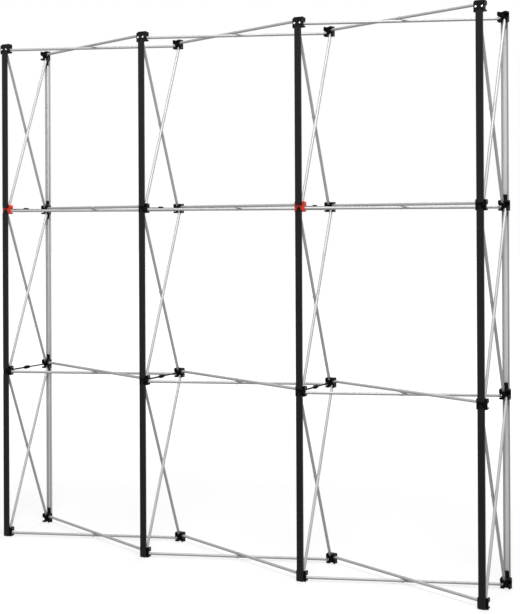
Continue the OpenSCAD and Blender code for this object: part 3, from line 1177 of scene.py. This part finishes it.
@dataclass
class LockingArms(SubAssembly):
    """The arms that hold the frame open, their posts and pivot pins."""

    ease: float = 0.25 * MM
    columns: tuple[int, ...] = (0, 1, 2)
    rows: dict[str, int] = field(default_factory=lambda: {"upper": 1, "lower": 2})
    catch_y: float = 136.0 * MM
    catch_r: float = 8.25 * MM
    bulge_r: float = 66.186 * MM
    rib_at: tuple[float, ...] = (-12.0 * MM, -9.0 * MM, -6.0 * MM, 6.0 * MM, 9.0 * MM, 12.0 * MM)
    pivot_r: float = 1.5 * MM
    pivot_l: float = 14.6 * MM
    pivot_cut: float = 0.25 * MM

    def build(self) -> list[Object]:
        """Makes every arm with its ribs, dresses the posts and makes the pivot pins.

        Returns:
            The arms, ribs, posts and pins.
        """
        pieces = []
        for name in [n for n in self.nodes if n.startswith("lock_arm_")]:
            piece = softened(self.nodes[name], f"{name}_moulding", ARM_BLACK.material(), self.ease)
            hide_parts(name)
            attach(piece, name)
            pieces += [piece, self.ribs(name)]
        posts = dress(self.nodes["lock_posts"], ARM_BLACK.material())
        grid = self.layout
        pivot_y = grid.front_y + grid.hub_in + grid.pivot_out
        spots = [Spot(Vector((grid.column_x(c), pivot_y, grid.row_z(r))), Vector((1, 0, 0)))
                 for c in self.columns for r in self.rows.values()]
        pins = repeated(
            Repeat.PIN, "pivot_pins_ground", spots,
            {"Radius": self.pivot_r, "Length": self.pivot_l, "Chamfer": self.pivot_cut}, STEEL)
        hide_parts("lock_pins")
        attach(pins, "frame")
        return [*pieces, posts, pins]

    def ribs(self, arm: str) -> Object:
        """Makes the grip ribs over one arm's catch.

        Args:
            arm: The arm's node and body.

        Returns:
            The ribs as one piece.
        """
        _, _, number, level = arm.split("_")
        x, z = self.layout.column_x(int(number) - 1), self.layout.row_z(self.rows[level])
        spots = []
        for offset in self.rib_at:
            radius = math.sqrt(self.bulge_r ** 2 - offset ** 2) - self.bulge_r + self.catch_r
            place = Vector((x, self.layout.front_y + self.catch_y + offset, z))
            spots.append(Spot(place, Vector((0, 1, 0)), radius))
        piece = repeated(Repeat.RIB, f"{arm}_grip_ribs", spots, {}, ARM_BLACK)
        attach(piece, arm)
        return piece


# ---------------------------------------------------------------- camera, light and floor
@dataclass(frozen=True)
class Lamp:
    """A soft square lamp that faces the frame's middle, with its side in metres."""

    name: str
    place: Triple
    side: float
    watts: float


@dataclass(frozen=True)
class Studio:
    """The photograph's camera, found from the hub centres, with soft light and a pale floor."""

    place: Triple = (2.48437, -4.70744, 1.44251)
    yaw: float = 0.526828
    pitch: float = 0.001673
    roll: float = -0.004554
    focal_px: float = 1255.87
    offset_px: tuple[float, float] = (-76.0, -89.81)
    long_side_px: float = 614.0
    sensor: float = 36.0
    clip: tuple[float, float] = (0.05, 200.0)
    target: Triple = (0.0, 0.0, 1.1)
    lamps: tuple[Lamp, ...] = (Lamp("key", (2.2, -3.4, 6.2), 2.8, 430),
                               Lamp("fill", (-3.5, -4.5, 3.8), 3.0, 90),
                               Lamp("back", (-0.5, 4.0, 5.6), 3.5, 190))
    surrounding: float = 0.2
    floor_half: float = 40.0
    floor_colour: Colour = (0.3, 0.3, 0.3)
    floor_glow: tuple[float, float] = (0.65, 1.0)
    floor_reach: tuple[float, float] = (1.5, 6.0)

    def camera(self) -> None:
        """Makes the camera and gives it to the scene."""
        forward = Vector((-math.cos(self.pitch) * math.sin(self.yaw),
                          math.cos(self.pitch) * math.cos(self.yaw), math.sin(self.pitch)))
        right = Vector((math.cos(self.yaw), math.sin(self.yaw), 0))
        up = right.cross(forward)
        c, s = math.cos(self.roll), math.sin(self.roll)
        right, up = right * c + up * s, up * c - right * s
        data = bpy.data.cameras.new("photograph")
        data.sensor_width = self.sensor
        data.lens = self.focal_px / self.long_side_px * self.sensor
        data.shift_x = -self.offset_px[0] / self.long_side_px
        data.shift_y = self.offset_px[1] / self.long_side_px
        data.clip_start, data.clip_end = self.clip
        holder = placed("photograph", data)
        holder.matrix_world = Matrix.Translation(self.place) @ Matrix(
            (right, up, -forward)).transposed().to_4x4()
        bpy.context.scene.camera = holder

    def light(self) -> None:
        """Sets up the lamps and a plain white surrounding."""
        for lamp in self.lamps:
            data = bpy.data.lights.new(lamp.name, "AREA")
            data.shape = "SQUARE"
            data.size = lamp.side
            data.energy = lamp.watts
            holder = placed(lamp.name, data)
            holder.location = lamp.place
            way = Vector(self.target) - Vector(lamp.place)
            holder.rotation_euler = way.to_track_quat("-Z", "Y").to_euler()
        world = bpy.data.worlds.new("surrounding")
        bpy.context.scene.world = world
        world.use_nodes = True
        board = Wiring(world.node_tree)
        lit = board.add("ShaderNodeBackground", Color=WHITE, Strength=self.surrounding)
        shown = board.add("ShaderNodeBackground", Color=WHITE, Strength=1.0)
        mix = board.add("ShaderNodeMixShader", Fac=self.seen(board))
        board.wire(lit.outputs[0], mix.inputs[1])
        board.wire(shown.outputs[0], mix.inputs[2])
        board.add("ShaderNodeOutputWorld", Surface=mix.outputs[0])

    @staticmethod
    def seen(board: Wiring) -> Socket:
        """One where a ray comes from the camera, a mirror or a glass, and zero elsewhere.

        Args:
            board: The tree that needs it.

        Returns:
            The value's socket.
        """
        path = board.add("ShaderNodeLightPath")
        total = path.outputs["Is Camera Ray"]
        for name in ("Is Glossy Ray", "Is Transmission Ray"):
            total = board.reckon("MAXIMUM", total, path.outputs[name])
        return total

    def floor(self) -> None:
        """Makes a wide pale floor that shows white and keeps the shadows."""
        mesh = bpy.data.meshes.new("floor")
        half = self.floor_half
        mesh.from_pydata([(-half, -half, 0), (half, -half, 0), (half, half, 0), (-half, half, 0)],
                         [], [(0, 1, 2, 3)])
        piece = placed("floor", mesh)
        board = Board("floor_pale")
        reach = board.add("ShaderNodeVectorMath", operation="LENGTH", Vector=board.place(EVEN))
        glow = board.span(reach.outputs["Value"], *self.floor_glow, *self.floor_reach)
        board.put(board.surface, Base_Color=(*self.floor_colour, 1), Roughness=0.9,
                  Specular_IOR_Level=0.1, Emission_Color=WHITE,
                  Emission_Strength=board.reckon("MULTIPLY", self.seen(board), glow))
        mesh.materials.append(board.material)


def main() -> None:
    logging.basicConfig(level=logging.INFO, format="%(name)s: %(message)s")
    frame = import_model()
    studio = Studio()
    studio.camera()
    for kind in (Hubs, Tubes, Bars, Hangers, LockingArms):
        for piece in kind(frame["nodes"]).build():
            LOG.info("%s %s: %d faces", kind.__name__, piece.name, len(piece.data.polygons))
    studio.light()
    studio.floor()
    bpy.context.scene.view_settings.view_transform = "Standard"


if __name__ == "__main__":
    main()
